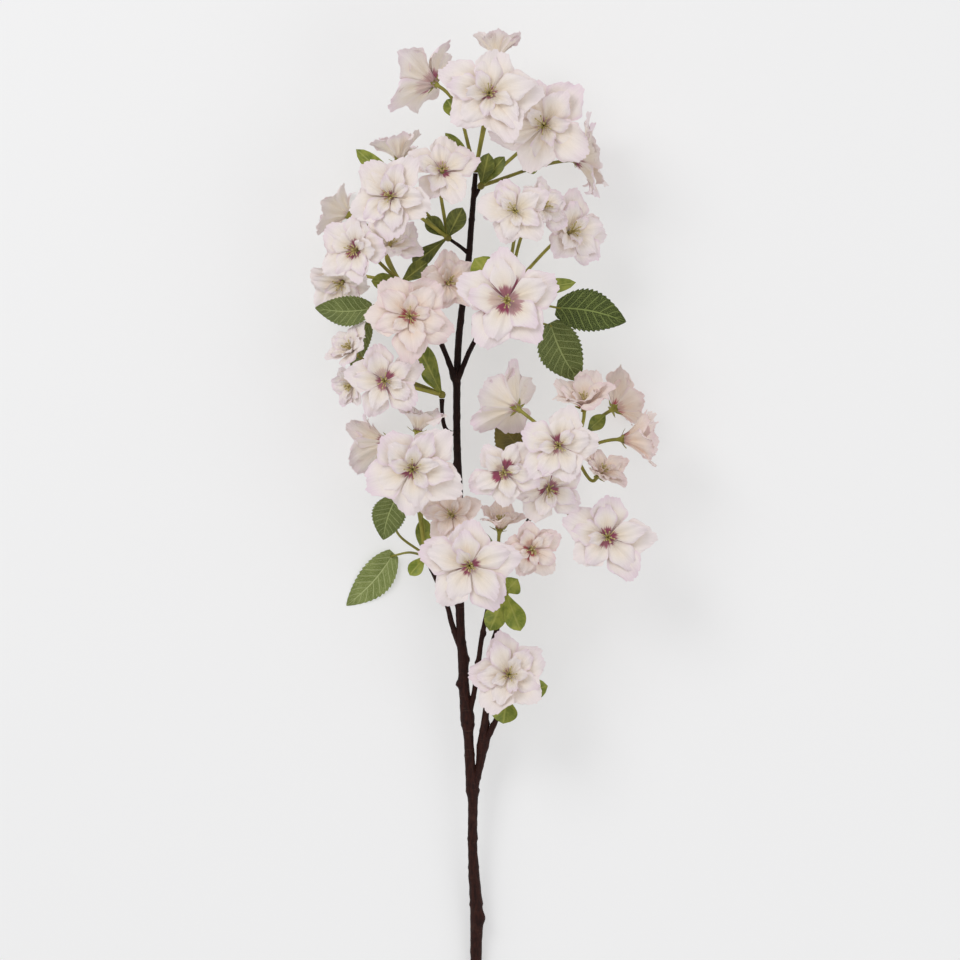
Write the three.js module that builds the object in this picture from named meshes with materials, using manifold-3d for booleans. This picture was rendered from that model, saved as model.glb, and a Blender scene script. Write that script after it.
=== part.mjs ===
// A cut flowering sprig that lies down: a woody branch, green stalks, double blooms and toothed leaves.
// Millimetres, +Z up. The cut end of the stem points to -Y and the tip to +Y.
import * as THREE from "three";
import { mergeVertices } from "three/addons/utils/BufferGeometryUtils.js";
import Module from "manifold-3d";

// ---- driving dimensions -------------------------------------------------------------------------
const BLADE = 0.8; // thickness of petals and leaves

const SEAT = 1.1; // drop from a bloom's throat to the top of its calyx
const CALYX_LENGTH = 5;
const CALYX_RADIUS = 2.9;
const STALK_RADIUS = 1.1;
const STALK_BENDS = 3;
const HUB_RADIUS = 2.2; // swelling where the stalks of a cluster meet
const HUB_FOOT_RADIUS = 1.4;
const HUB_HEAD_RADIUS = 1;
const JOINT_GAP = 0.45; // between the end of a twig and the cluster that sits on it
const STAMENS = { count: 3, width: 0.035, length: 0.4, lean: 0.35 };

const PETALS = 5; // in each of the two layers
const OUTER = { share: 1, lift: 0.2, curl: 0.16, foot: -0.3, tips: 3, turn: 0 };
const INNER = { share: 0.78, lift: 0.58, curl: 0.28, foot: 0.2, tips: 2, turn: 0.14 };
const WIDE = 0.82; // width of a petal over its length
const SHOULDER = 0.6; // place of its widest part
const NOTCH = 0.2; // depth where two petals meet, from the centre
const PINWHEEL = 0.16; // each petal tips sideways, over one neighbour and under the other
const CUP = 0.16;
const FRILL = 0.05; // height of the wavy edge over the petal's length
const SMALL_BLOOM = 20.5; // a bloom of a smaller radius has plainer tips

// Blooms: throat x, y, z, radius, the way the bloom faces, spin in degrees, tint, and how far its petals rise
// from the open state, where they do.
const BLOOMS = [
  [-22.8, 574.2, 64, 29, -0.7, 0.45, -0.35, 20, "cream", 0.15],
  [11.4, 565.8, 86, 30, 0.05, 0.15, 1, 8, "cream"],
  [16.2, 590.4, 58, 19.8, 0.1, 0.9, -0.2, 10, "cream", 0.5],
  [44.4, 547.8, 69, 30, -0.1, 0, 1, 40, "cream"],
  [65.4, 529.2, 27.6, 28, 0.95, 0.1, -0.1, 18, "cream", 0.15],
  [-42.6, 529.2, 52, 19, -0.05, 1.01, -0.2, 22, "cream", 0.55],
  [-16.8, 520.8, 68, 21.6, 0.15, 0.35, 0.9, 15, "cream"],
  [-46.8, 504.6, 85, 25.8, -0.25, 0.1, 0.95, 60, "cream"],
  [-48.5, 475.6, 57.5, 22.8, 0.2, 0.7, 0.5, 25, "cream", 0.2],
  [-67.8, 473.4, 75, 22.2, -0.4, -0.05, 0.9, 0, "cream", 0.15],
  [-74.4, 496.8, 15.6, 19.8, -0.8, 0.4, -0.3, 14, "cream", 0.4],
  [-77, 455, 30, 21, -0.35, -0.35, 0.8, 12, "cream", 0.2],
  [-36, 433.2, 84, 27, 0, 0.1, 1, 48, "peach"],
  [-13, 454, 60, 20, 0.3, 0.2, 0.85, 22, "peach", 0.15],
  [22.2, 442.8, 88, 31.2, 0, 0, 1, 19, "cream"],
  [27, 496.2, 80, 21, -0.1, 0.1, 0.95, 33, "cream"],
  [42.6, 498.6, 65, 18, 0.5, 0.4, 0.6, 10, "cream", 0.25],
  [59.8, 484.6, 46, 25, 0.5, 0.25, 0.75, 4, "cream", 0.2],
  [-51, 395.4, 73, 22.8, 0, 0, 1, 28, "cream"],
  [-71, 414, 56, 16.5, -0.5, 0.45, 0.6, 6, "cream", 0.3],
  [-70.5, 393.5, 46, 14.5, -0.55, -0.35, 0.5, 12, "cream", 0.25],
  [-51, 358.8, 20.7, 26, -0.85, 0, -0.35, 34, "cream", 0.6],
  [-31, 367, 58, 19.5, 0.19, 0.95, 0.14, 14, "cream", 0.55],
  [-34.2, 342.6, 85, 29.4, 0, 0, 1, 52, "cream"],
  [-10.8, 315, 64, 19.2, -0.2, 0.2, 0.9, 20, "peach"],
  [0, 285, 84, 29.4, 0, 0, 1, 14, "cream"],
  [18, 308.4, 56, 16.8, 0.09, 0.85, 0.34, 43, "peach", 0.5],
  [36.6, 294.6, 70, 18, 0.2, -0.1, 0.9, 28, "peach"],
  [20.4, 340.8, 82, 20.4, 0, -0.1, 1, 58, "cream"],
  [52.8, 356.4, 88, 24.6, 0, 0, 1, 6, "cream"],
  [46.8, 331.2, 70, 21.6, 0.1, -0.2, 0.9, 32, "cream"],
  [82.2, 301.8, 62, 26.6, 0.1, 0, 1, 8, "cream"],
  [27, 380, 68, 28, -0.5, 0.4, -0.5, 16, "cream", 0.3],
  [68.4, 381, 62, 22.8, 0, 0.75, 0.5, 42, "peach", 0.4],
  [88.2, 379.8, 16.5, 22.8, 0.7, 0.4, -0.5, 24, "peach", 0.35],
  [93.6, 360.6, 50, 25, 0.95, 0.05, 0.1, 52, "peach", 0.6],
  [78.2, 340.2, 50, 17, 0.41, 0.55, 0.54, 8, "peach", 0.4],
  [23.4, 219, 54, 25.2, 0.05, 0.15, 0.95, 31, "cream"],
];

// The branch: each limb is a list of x, y, z, radius, and starts inside the limb that it grows from.
// A cluster of stalks sits on the end of the twig of the same name, or on the end of the stem.
const SIDES_STEM = 6;
const SIDES_TWIG = 4;
const STEM = [
  [4.2, 0, 3.4, 3.4], [3.6, 48, 5.6, 3.4], [3.9, 73.8, 8.2, 3.9], [1.6, 112.2, 13, 2.9], [1.7, 141, 16.5, 3],
  [1.2, 148.2, 17.5, 3.5], [0, 165, 19.5, 3.1], [-0.9, 180.6, 21.5, 3], [-1.8, 193.2, 23.5, 4],
  [-3.6, 211.2, 26, 3.1], [-4.2, 228.6, 28.5, 3.2], [-5.4, 240, 30.5, 2.7], [-6, 257.4, 33, 2.6],
  [-6.3, 294, 38, 2.4], [-6.6, 329.4, 42, 2.3], [-7.8, 358.2, 43.5, 2.2], [-7.8, 398.4, 44, 2.2],
  [-6, 429, 44, 2], [-1.2, 465, 44, 1.95], [0.6, 487.2, 44, 1.8], [1.8, 501.6, 44, 1.7],
  [3.3, 520.2, 44, 1.5],
];
const TWIGS = {
  right_upper: [
    [2.4, 150, 17.5, 2.4], [6, 165, 19.5, 2.6], [7.2, 174.6, 21.5, 3.2], [9.6, 196.2, 26, 2],
    [15.6, 242.4, 34, 1.7], [19.8, 273, 38, 1.7], [23.4, 288, 41, 1.5], [32.4, 307.2, 44, 1.4],
    [42.6, 322.8, 47, 1.4], [51.6, 338.4, 49, 1.3], [60, 350.4, 51, 1.2],
  ],
  right_lower: [[42.2, 322.2, 46.8, 1.2], [42.2, 325, 50, 1]],
  leaflets: [[19.6, 272.4, 38, 1.4], [20.6, 270, 41.2, 1]],
  lowest: [[7.2, 174.6, 21.5, 2.2], [14.4, 188.4, 26, 1.7], [17.4, 196.2, 30, 1.5], [21, 204, 33.5, 1.4]],
  lower_centre: [
    [-1.8, 193.2, 23.5, 2.2], [1.2, 201.6, 26, 1.6], [4.2, 219, 30, 1.6], [7.2, 241.8, 35, 1.5],
    [13.2, 270, 41, 1.4], [16.8, 290.4, 45, 1.3],
  ],
  lower_left: [
    [-5.4, 234, 29.5, 2], [-10.8, 249, 31, 1.7], [-13.8, 260.4, 31, 1.5], [-20.4, 276, 31, 1.4],
    [-25.8, 288, 31, 1.3],
  ],
  left: [
    [-7.8, 393.6, 44, 2], [-13.2, 408, 48, 1.6], [-18.6, 421.2, 50, 1.6], [-22.8, 430.8, 52, 1.5],
    [-32.4, 445.2, 53.5, 1.3], [-39.6, 452.4, 53.6, 1],
  ],
  centre: [
    [-7.8, 396, 44, 2], [-3.6, 405.6, 47, 1.6], [0.6, 415.2, 49, 1.5], [9.6, 430.8, 52, 1.4],
    [19.8, 445.2, 54, 1.3],
  ],
  middle_left: [
    [-7.2, 363.6, 44, 1.8], [-12.6, 364.8, 47, 1.3], [-15.6, 369, 49, 1.3], [-16.8, 378, 50.5, 1.2],
    [-16.8, 384.6, 51, 1.6],
  ],
  upper_left: [[0, 471.6, 44, 1.6], [-5.4, 475.8, 46.5, 1.1], [-11.4, 480, 49, 1]],
  upper_right: [[2.1, 505.2, 44, 1.5], [5.4, 510.6, 46, 1.1]],
};

// Clusters of stalks: the blooms that they carry (by number), and the small leaves on them.
// A small leaf gives the bloom whose stalk it grows on (0 for the hub), its tip and its width.
const CLUSTERS = {
  tip: { blooms: [1, 2, 3], leaves: [[1, [-14, 564, 60], 8], [0, [-14, 543, 58], 6]] },
  upper_right: {
    blooms: [4, 5], leaves: [[0, [11, 531, 58], 8], [0, [20, 529, 57], 7], [5, [40, 527, 56], 8]],
  },
  upper_left: {
    blooms: [6, 7, 8],
    leaves: [[0, [-35, 465, 40], 8], [0, [-26, 493, 55], 8], [0, [-5, 498, 62], 9], [6, [-68, 534, 58], 8]],
  },
  left: { blooms: [9, 10, 11, 12, 13, 14], leaves: [[0, [-58, 455, 64], 8], [0, [-26, 466, 60], 8]] },
  centre: { blooms: [15, 16, 17, 18], leaves: [[0, [3, 468, 62], 14], [0, [62, 454, 68], 7]] },
  middle_left: { blooms: [19, 20, 21], leaves: [[0, [-32, 418, 62], 10], [0, [-27, 405, 56], 8]] },
  lower_left: { blooms: [22, 23, 24, 25], leaves: [[0, [-28, 312, 44], 8], [0, [-36, 279, 36], 7]] },
  lower_centre: { blooms: [26, 27, 28], leaves: [[0, [2, 304, 54], 7]] },
  right_upper: { blooms: [30, 33, 34, 35, 36, 37], leaves: [[35, [80, 374, 54], 7]] },
  right_lower: { blooms: [29, 31, 32], leaves: [] },
  lowest: { blooms: [38], leaves: [[0, [20, 190, 40], 12], [0, [46, 212, 42], 10]] },
  leaflets: { blooms: [], leaves: [[0, [28, 276, 54], 10], [0, [30, 246, 50], 10], [0, [12, 246, 50], 10]] },
};

// Large leaves: the cluster that each grows beside, a bend of its stalk, its foot, its tip and its width.
const LEAVES = [
  { on: "centre", run: [[39, 442, 60], [51.6, 439.2, 62], [93.6, 430.8, 60]], width: 25 },
  { on: "centre", run: [[34, 433.5, 54.5], [48, 430.2, 57], [66, 395, 46]], width: 26 },
  { on: "left", run: [[-51.6, 444.5, 57.5], [-58.8, 438.6, 59], [-93, 439.2, 52]], width: 18 },
  { on: "left", run: [[-52, 440, 49], [-60.4, 430.8, 50], [-70.8, 401.4, 36]], width: 12 },
  { on: "lower_left", run: [[-37.2, 292.2, 18], [-46.2, 291.6, 1.4], [-75, 259.8, 0.4]], width: 20 },
  { on: "lower_left", run: [[-44, 305, 43], [-44, 326, 52], [-52.2, 300, 46]], width: 20 },
  { on: "right_lower", run: [[39.6, 342, 52], [35.4, 350.2, 49], [16.8, 374.2, 33]], width: 22 },
];
const TEETH = 5; // on each side of a large leaf
const LEAF_FOLD = 0.22; // rise of the edge over the half width
const LEAF_WAVE = 0.5; // height of the waves along the edge
const LEAF_SAG = 0.06; // drop of the tip over the length
const LEAFSTALK_RADIUS = 0.75;
const SMALL_LEAF_FOLD = 0.18; // rise of the edge over the width

const FINISH = {
  bark: { color: 0x33190f, roughness: 0.62 },
  stalk: { color: 0x7d8236, roughness: 0.55 },
  leaf: { color: 0x48682a, roughness: 0.6 },
  cream: { color: 0xefe4e2, roughness: 0.85 },
  peach: { color: 0xf0d6cb, roughness: 0.85 },
};

// ---- solids -------------------------------------------------------------------------------------
const wasm = await Module();
wasm.setup();

const UP = new THREE.Vector3(0, 0, 1);
const vec = (p) => new THREE.Vector3(p[0], p[1], p[2]);

/** A closed solid from a three.js geometry or from plain lists of points and triangles. */
function solid(geometry) {
  const bare = geometry.clone();
  bare.deleteAttribute("normal");
  bare.deleteAttribute("uv");
  const merged = mergeVertices(bare, 1e-4);
  return new wasm.Manifold(
    new wasm.Mesh({
      numProp: 3,
      vertProperties: merged.attributes.position.array,
      triVerts: new Uint32Array(merged.index.array),
    }),
  );
}

function closedShape(points, triangles) {
  const geometry = new THREE.BufferGeometry();
  const numbers = points.flatMap((p) => p.toArray());
  geometry.setAttribute("position", new THREE.Float32BufferAttribute(numbers, 3));
  geometry.setIndex(triangles.flat());
  return solid(geometry);
}

function join(parts) {
  return parts.reduce((sum, part) => sum.add(part));
}

/** The largest body of a solid: joins and cuts can leave a loose sliver beside it. */
function withoutScraps(body) {
  return body.decompose().sort((one, other) => other.volume() - one.volume())[0];
}

/** A round limb through stations of x, y, z, radius, with rings that turn with it and flat ends. */
function limb(stations, sides) {
  const centres = stations.map(vec);
  const points = [];
  const triangles = [];
  const along = centres.map((c, i) => {
    const before = centres[Math.max(i - 1, 0)];
    const after = centres[Math.min(i + 1, centres.length - 1)];
    return after.clone().sub(before).normalize();
  });
  let across = new THREE.Vector3(0, 0, 1).cross(along[0]).normalize();
  if (across.lengthSq() < 0.5) across = new THREE.Vector3(1, 0, 0);
  centres.forEach((centre, i) => {
    across = across.clone().addScaledVector(along[i], -across.dot(along[i])).normalize();
    const up = along[i].clone().cross(across);
    for (let k = 0; k < sides; k++) {
      const angle = ((k + 0.5) * 2 * Math.PI) / sides;
      const radius = stations[i][3];
      const point = centre.clone().addScaledVector(across, radius * Math.cos(angle));
      points.push(point.addScaledVector(up, radius * Math.sin(angle)));
    }
  });
  for (let i = 0; i + 1 < centres.length; i++)
    for (let k = 0; k < sides; k++) {
      const a = i * sides + k;
      const b = i * sides + ((k + 1) % sides);
      triangles.push([a, b, b + sides], [a, b + sides, a + sides]);
    }
  const last = (centres.length - 1) * sides;
  for (let k = 1; k + 1 < sides; k++) triangles.push([0, k + 1, k], [last, last + k, last + k + 1]);
  return closedShape(points, triangles);
}

/** A thin blade: a net of points and triangles, thickened along one direction and closed round its rim. */
function blade(net, triangles, rim, direction) {
  const half = direction.clone().multiplyScalar(BLADE / 2);
  const upper = net.map((p) => p.clone().add(half));
  const lower = net.map((p) => p.clone().sub(half));
  const n = net.length;
  const faces = [];
  triangles.forEach(([a, b, c]) => faces.push([a, b, c], [a + n, c + n, b + n]));
  rim.forEach((a, i) => {
    const b = rim[(i + 1) % rim.length];
    faces.push([a, a + n, b + n], [a, b + n, b]);
  });
  return closedShape([...upper, ...lower], faces);
}

// ---- blooms -------------------------------------------------------------------------------------
// A bloom is modelled facing +Z with its throat at the origin, and its mesh is then turned and placed.
const outward = (angle) => new THREE.Vector3(Math.cos(angle), Math.sin(angle), 0);

/** Half width of a petal over its greatest half width, s from the throat (0) to the tip (1). */
function petalWidth(s) {
  return 0.2 + 0.8 * Math.sin(Math.PI * 0.62 * s) ** 1.3;
}

/** A point of a petal: s runs from the throat (0) to the tip (1), v from edge to edge (-1 to 1). */
function petalPoint({ angle, foot, length, halfWidth, lift, curl, phase }, s, v) {
  const along = length * s * (1 - 0.2 * v * v * s);
  const side = halfWidth * petalWidth(s) * v;
  const wave = FRILL * length * s ** 3 * Math.cos(2.6 * v + phase);
  const bowl = CUP * halfWidth * v * v * s;
  const height = length * (0.1 * s - curl * s ** 3) + side * PINWHEEL * s + bowl + wave;
  const out = along * Math.cos(lift) - height * Math.sin(lift);
  const up = along * Math.sin(lift) + height * Math.cos(lift);
  const across = outward(angle + Math.PI / 2);
  return outward(angle).multiplyScalar(out).addScaledVector(across, side).setZ(foot + up);
}

/** One layer of a bloom: a thin star of petals round a flat middle, with a slit between each two. */
function petalLayer(radius, spin, rise, layer) {
  const size = radius * layer.share;
  const net = [];
  const triangles = [];
  const rim = [];
  const tips = radius < SMALL_BLOOM ? 2 : layer.tips;
  const step = 4 + tips; // points of each petal: notch, left, middle, right and the tips
  for (let i = 0; i < PETALS; i++) {
    const angle = ((i + layer.turn) * 2 * Math.PI) / PETALS;
    const petal = {
      angle,
      foot: layer.foot,
      length: size * (1 + 0.07 * Math.sin(3 * i + spin)),
      halfWidth: (size * WIDE) / 2,
      lift: layer.lift + rise + 0.06 * Math.sin(5 * i + spin),
      curl: layer.curl,
      phase: 2 * i + spin,
    };
    net.push(outward(angle - Math.PI / PETALS).multiplyScalar(NOTCH * size).setZ(layer.foot));
    for (const v of [-1, 0, 1]) net.push(petalPoint(petal, SHOULDER, v));
    for (let k = 0; k < tips; k++) net.push(petalPoint(petal, 1, -1 + (2 * k) / (tips - 1)));
    const notch = i * step;
    const next = ((i + 1) % PETALS) * step;
    const [left, middle, right, tip] = [notch + 1, notch + 2, notch + 3, notch + 4];
    const last = tip + tips - 1;
    triangles.push([notch, middle, next], [notch, left, middle], [middle, right, next]);
    triangles.push([left, tip, middle], [middle, last, right]);
    for (let k = tip; k < last; k++) triangles.push([middle, k, k + 1]);
    rim.push(notch, left);
    for (let k = tip; k <= last; k++) rim.push(k);
    rim.push(right);
  }
  for (let i = 1; i + 1 < PETALS; i++) triangles.push([0, i * step, (i + 1) * step]);
  return blade(net, triangles, rim, UP);
}

/** The stamens, which stand in the flat middle of the layers. */
function stamens(radius, spin) {
  const parts = [];
  for (let i = 0; i < STAMENS.count; i++) {
    const out = outward(spin + (i * 2 * Math.PI) / STAMENS.count);
    const height = STAMENS.length * radius;
    const stamen = new THREE.ConeGeometry(STAMENS.width * radius, height, 3);
    stamen.translate(0, height / 2, 0);
    const lean = UP.clone().addScaledVector(out, STAMENS.lean).normalize();
    stamen.applyQuaternion(new THREE.Quaternion().setFromUnitVectors(new THREE.Vector3(0, 1, 0), lean));
    stamen.translate(out.x * 0.04 * radius, out.y * 0.04 * radius, 0);
    parts.push(solid(stamen));
  }
  return parts;
}

/** The place of a bloom: its z axis is the way that the bloom faces, and its x axis is turned by the spin. */
function bloomMatrix([x, y, z, , fx, fy, fz, spin]) {
  const w = new THREE.Vector3(fx, fy, fz).normalize();
  const reference = Math.abs(w.y) > 0.8 ? new THREE.Vector3(0, 0, 1) : new THREE.Vector3(0, 1, 0);
  const a = reference.cross(w).normalize();
  const matrix = new THREE.Matrix4().makeBasis(a, w.clone().cross(a), w);
  const turned = new THREE.Matrix4().makeRotationZ(THREE.MathUtils.degToRad(spin));
  return matrix.multiply(turned).setPosition(x, y, z);
}

/** A bloom in its own frame, with whatever reaches below the surface that it lies on cut flat. */
function bloom(row) {
  const [, , , radius, , , , spin, , rise = 0] = row;
  const layers = [OUTER, INNER].map((layer) => petalLayer(radius, spin, rise, layer));
  const body = withoutScraps(join([...layers, ...stamens(radius, spin)]));
  if (row[2] > radius) return body;
  const ground = new THREE.BoxGeometry(4 * radius, 4 * radius, 2 * radius);
  ground.translate(row[0], row[1], -radius);
  return withoutScraps(body.subtract(solid(ground.applyMatrix4(bloomMatrix(row).invert()))));
}

// ---- stalks and leaves --------------------------------------------------------------------------
/** The place of a cluster: the end of its twig, the way that the twig points, and the hub just beyond it. */
function seatOf(name) {
  const [before, end] = (TWIGS[name] ?? STEM).slice(-2).map(vec);
  const along = end.clone().sub(before).normalize();
  return { end, along, hub: end.clone().addScaledVector(along, JOINT_GAP + HUB_RADIUS) };
}

function hubSolid(name) {
  const { end, along, hub } = seatOf(name);
  const foot = end.clone().addScaledVector(along, JOINT_GAP);
  const head = hub.clone().addScaledVector(along, HUB_RADIUS);
  const stations = [
    [...foot.toArray(), HUB_FOOT_RADIUS],
    [...hub.toArray(), HUB_RADIUS],
    [...head.toArray(), HUB_HEAD_RADIUS],
  ];
  return limb(stations, SIDES_TWIG);
}

/** The middle line of a stalk, from the hub to the foot of the calyx, and the seat of the bloom on it. */
function stalkLine(hub, [x, y, z, , fx, fy, fz]) {
  const w = new THREE.Vector3(fx, fy, fz).normalize();
  const seat = new THREE.Vector3(x, y, z).addScaledVector(w, -SEAT);
  const foot = seat.clone().addScaledVector(w, -CALYX_LENGTH);
  const start = hub.clone();
  const reach = start.distanceTo(foot);
  const leave = start.clone().lerp(foot, 0.35);
  const arrive = foot.clone().addScaledVector(w, -reach * 0.35);
  return { curve: new THREE.CubicBezierCurve3(start, leave, arrive, foot), seat };
}

function stalk(hub, row) {
  const { curve, seat } = stalkLine(hub, row);
  const stations = curve.getPoints(STALK_BENDS).map((p) => [...p.toArray(), STALK_RADIUS]);
  return limb([...stations, [...seat.toArray(), CALYX_RADIUS]], SIDES_TWIG);
}

/** A small plain leaf: a folded blade, pointed at both ends. */
function smallLeaf(foot, tip, width) {
  const run = vec(tip).sub(foot);
  const side = UP.clone().cross(run).normalize();
  const up = run.clone().cross(side).normalize();
  const at = (s, v, rise) => {
    const point = foot.clone().addScaledVector(run, s).addScaledVector(side, (v * width) / 2);
    return point.addScaledVector(up, rise * width);
  };
  const net = [
    at(0, 0, 0),
    at(0.55, -1, SMALL_LEAF_FOLD),
    at(0.5, 0, 0),
    at(0.55, 1, SMALL_LEAF_FOLD),
    at(1, 0, 0),
  ];
  return blade(net, [[0, 1, 2], [0, 2, 3], [1, 4, 2], [2, 4, 3]], [0, 1, 4, 3], up);
}

/** Half width of a large leaf over its greatest half width, s from its foot (0) to its tip (1). */
function leafWidth(s) {
  return Math.sin(Math.PI * (0.06 + 0.94 * s) ** 0.85) ** 0.8;
}

/** A toothed leaf with its stalk. Where it would sink below the surface it lies flat on it. */
function largeLeaf({ on, run, width }) {
  const [stalkBend, foot, tip] = run.map(vec);
  const { hub } = seatOf(on);
  const stalkEnd = stalkBend.clone().sub(hub).setLength(HUB_RADIUS + JOINT_GAP).add(hub);
  const rib = tip.clone().sub(foot);
  const side = UP.clone().cross(rib).normalize();
  const at = (s, v) => {
    const reach = (width / 2) * leafWidth(s) * v;
    const rise = LEAF_FOLD * Math.abs(reach) + LEAF_WAVE * Math.sin(9 * s) * Math.abs(v);
    const point = foot.clone().addScaledVector(rib, s).addScaledVector(side, reach);
    return point.setZ(Math.max(BLADE / 2, point.z + rise - LEAF_SAG * rib.length() * s * s));
  };
  const net = [at(0, 0)];
  const triangles = [];
  const left = [];
  const right = [];
  let middle = 0;
  for (let i = 0; i < TEETH; i++) {
    const notch = (i + 0.35) / TEETH;
    const point = (i + 0.95) / TEETH;
    const next = net.length;
    net.push(at((i + 1) / TEETH, 0), at(notch, -0.9), at(notch, 0.9));
    triangles.push([middle, next, next + 2], [middle, next + 1, next]);
    if (i > 0) triangles.push([middle, next + 2, right.at(-1)], [middle, left.at(-1), next + 1]);
    left.push(next + 1);
    right.push(next + 2);
    if (i + 1 < TEETH) {
      net.push(at(point, -1.06), at(point, 1.06));
      triangles.push([next, next + 4, next + 2], [next, next + 1, next + 3]);
      left.push(next + 3);
      right.push(next + 4);
    }
    middle = next;
  }
  const plate = blade(net, triangles, [0, ...left, middle, ...right.reverse()], UP);
  const neck = at(0.06, 0);
  neck.z = Math.max(neck.z, LEAFSTALK_RADIUS);
  const stations = [stalkEnd, stalkBend, neck].map((p) => [...p.toArray(), LEAFSTALK_RADIUS]);
  return plate.add(limb(stations, SIDES_TWIG));
}

// ---- assembly -----------------------------------------------------------------------------------
const sprig = new THREE.Group();
sprig.name = "azalea_sprig";

function add(name, body, finish) {
  const mesh = body.getMesh();
  const geometry = new THREE.BufferGeometry();
  geometry.setAttribute("position", new THREE.BufferAttribute(new Float32Array(mesh.vertProperties), 3));
  geometry.setIndex(new THREE.BufferAttribute(mesh.triVerts, 1));
  geometry.computeVertexNormals();
  const piece = new THREE.Mesh(geometry, new THREE.MeshStandardMaterial({ ...FINISH[finish], metalness: 0 }));
  piece.name = name;
  sprig.add(piece);
  return piece;
}

const twigs = Object.values(TWIGS).map((stations) => limb(stations, SIDES_TWIG));
add("branch", join([limb(STEM, SIDES_STEM), ...twigs]), "bark");

for (const [name, { blooms, leaves }] of Object.entries(CLUSTERS)) {
  const { hub } = seatOf(name);
  const parts = [hubSolid(name)];
  blooms.forEach((number) => parts.push(stalk(hub, BLOOMS[number - 1])));
  leaves.forEach(([number, tip, width]) => {
    const foot = number ? stalkLine(hub, BLOOMS[number - 1]).curve.getPoint(0.5) : hub;
    parts.push(smallLeaf(foot, tip, width));
  });
  if (blooms.length) add("stalks_" + name, join(parts), "stalk");
  else add(name, join(parts), "leaf");
}

LEAVES.forEach((leaf, i) => add("leaf_" + (i + 1), largeLeaf(leaf), "leaf"));

BLOOMS.forEach((row, i) => {
  const piece = add("bloom_" + String(i + 1).padStart(2, "0"), bloom(row), row[8]);
  piece.applyMatrix4(bloomMatrix(row));
});

// The middle of the sprig stands over the origin, with its lowest points at z = 0.
const box = new THREE.Box3().setFromObject(sprig, true);
const middle = box.getCenter(new THREE.Vector3());
sprig.position.set(-middle.x, -middle.y, -box.min.z);

export default sprig;
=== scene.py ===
"""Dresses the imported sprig: fine petals, stamens, toothed leaves, stalks and bark round the fixed frame."""

import math

import bpy
import numpy as np
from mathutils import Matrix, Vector


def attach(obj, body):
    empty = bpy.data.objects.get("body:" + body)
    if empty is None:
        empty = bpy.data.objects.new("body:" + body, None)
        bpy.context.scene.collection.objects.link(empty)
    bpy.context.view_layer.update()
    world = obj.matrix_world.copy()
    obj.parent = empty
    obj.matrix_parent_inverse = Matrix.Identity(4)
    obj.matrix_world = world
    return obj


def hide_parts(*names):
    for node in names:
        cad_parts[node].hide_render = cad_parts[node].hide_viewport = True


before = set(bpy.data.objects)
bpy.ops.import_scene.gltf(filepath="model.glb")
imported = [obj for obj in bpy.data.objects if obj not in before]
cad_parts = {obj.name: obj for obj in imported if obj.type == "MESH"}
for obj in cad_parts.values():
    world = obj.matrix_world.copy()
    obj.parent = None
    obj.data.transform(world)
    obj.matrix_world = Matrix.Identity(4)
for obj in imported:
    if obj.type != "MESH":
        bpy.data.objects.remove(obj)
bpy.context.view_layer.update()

# ---- the sprig's measures, in millimetres, in the frame of its source ------------------------------------
CUT_END = (4.2, 0.0, 3.4)  # middle of the stem's cut end
SEAT = 1.1  # from a bloom's throat back to the rim of its calyx
CALYX_LENGTH = 5.0
HUB_RADIUS = 2.2
JOINT_GAP = 0.45  # between a twig and its hub
PETALS = 5  # in each full layer
PINWHEEL = 0.16  # how far a petal tilts across, over its neighbour
CUP = 0.16  # how far its edges rise over its middle
FRILL = 0.05  # depth of its widest wave, as a share of its length

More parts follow.
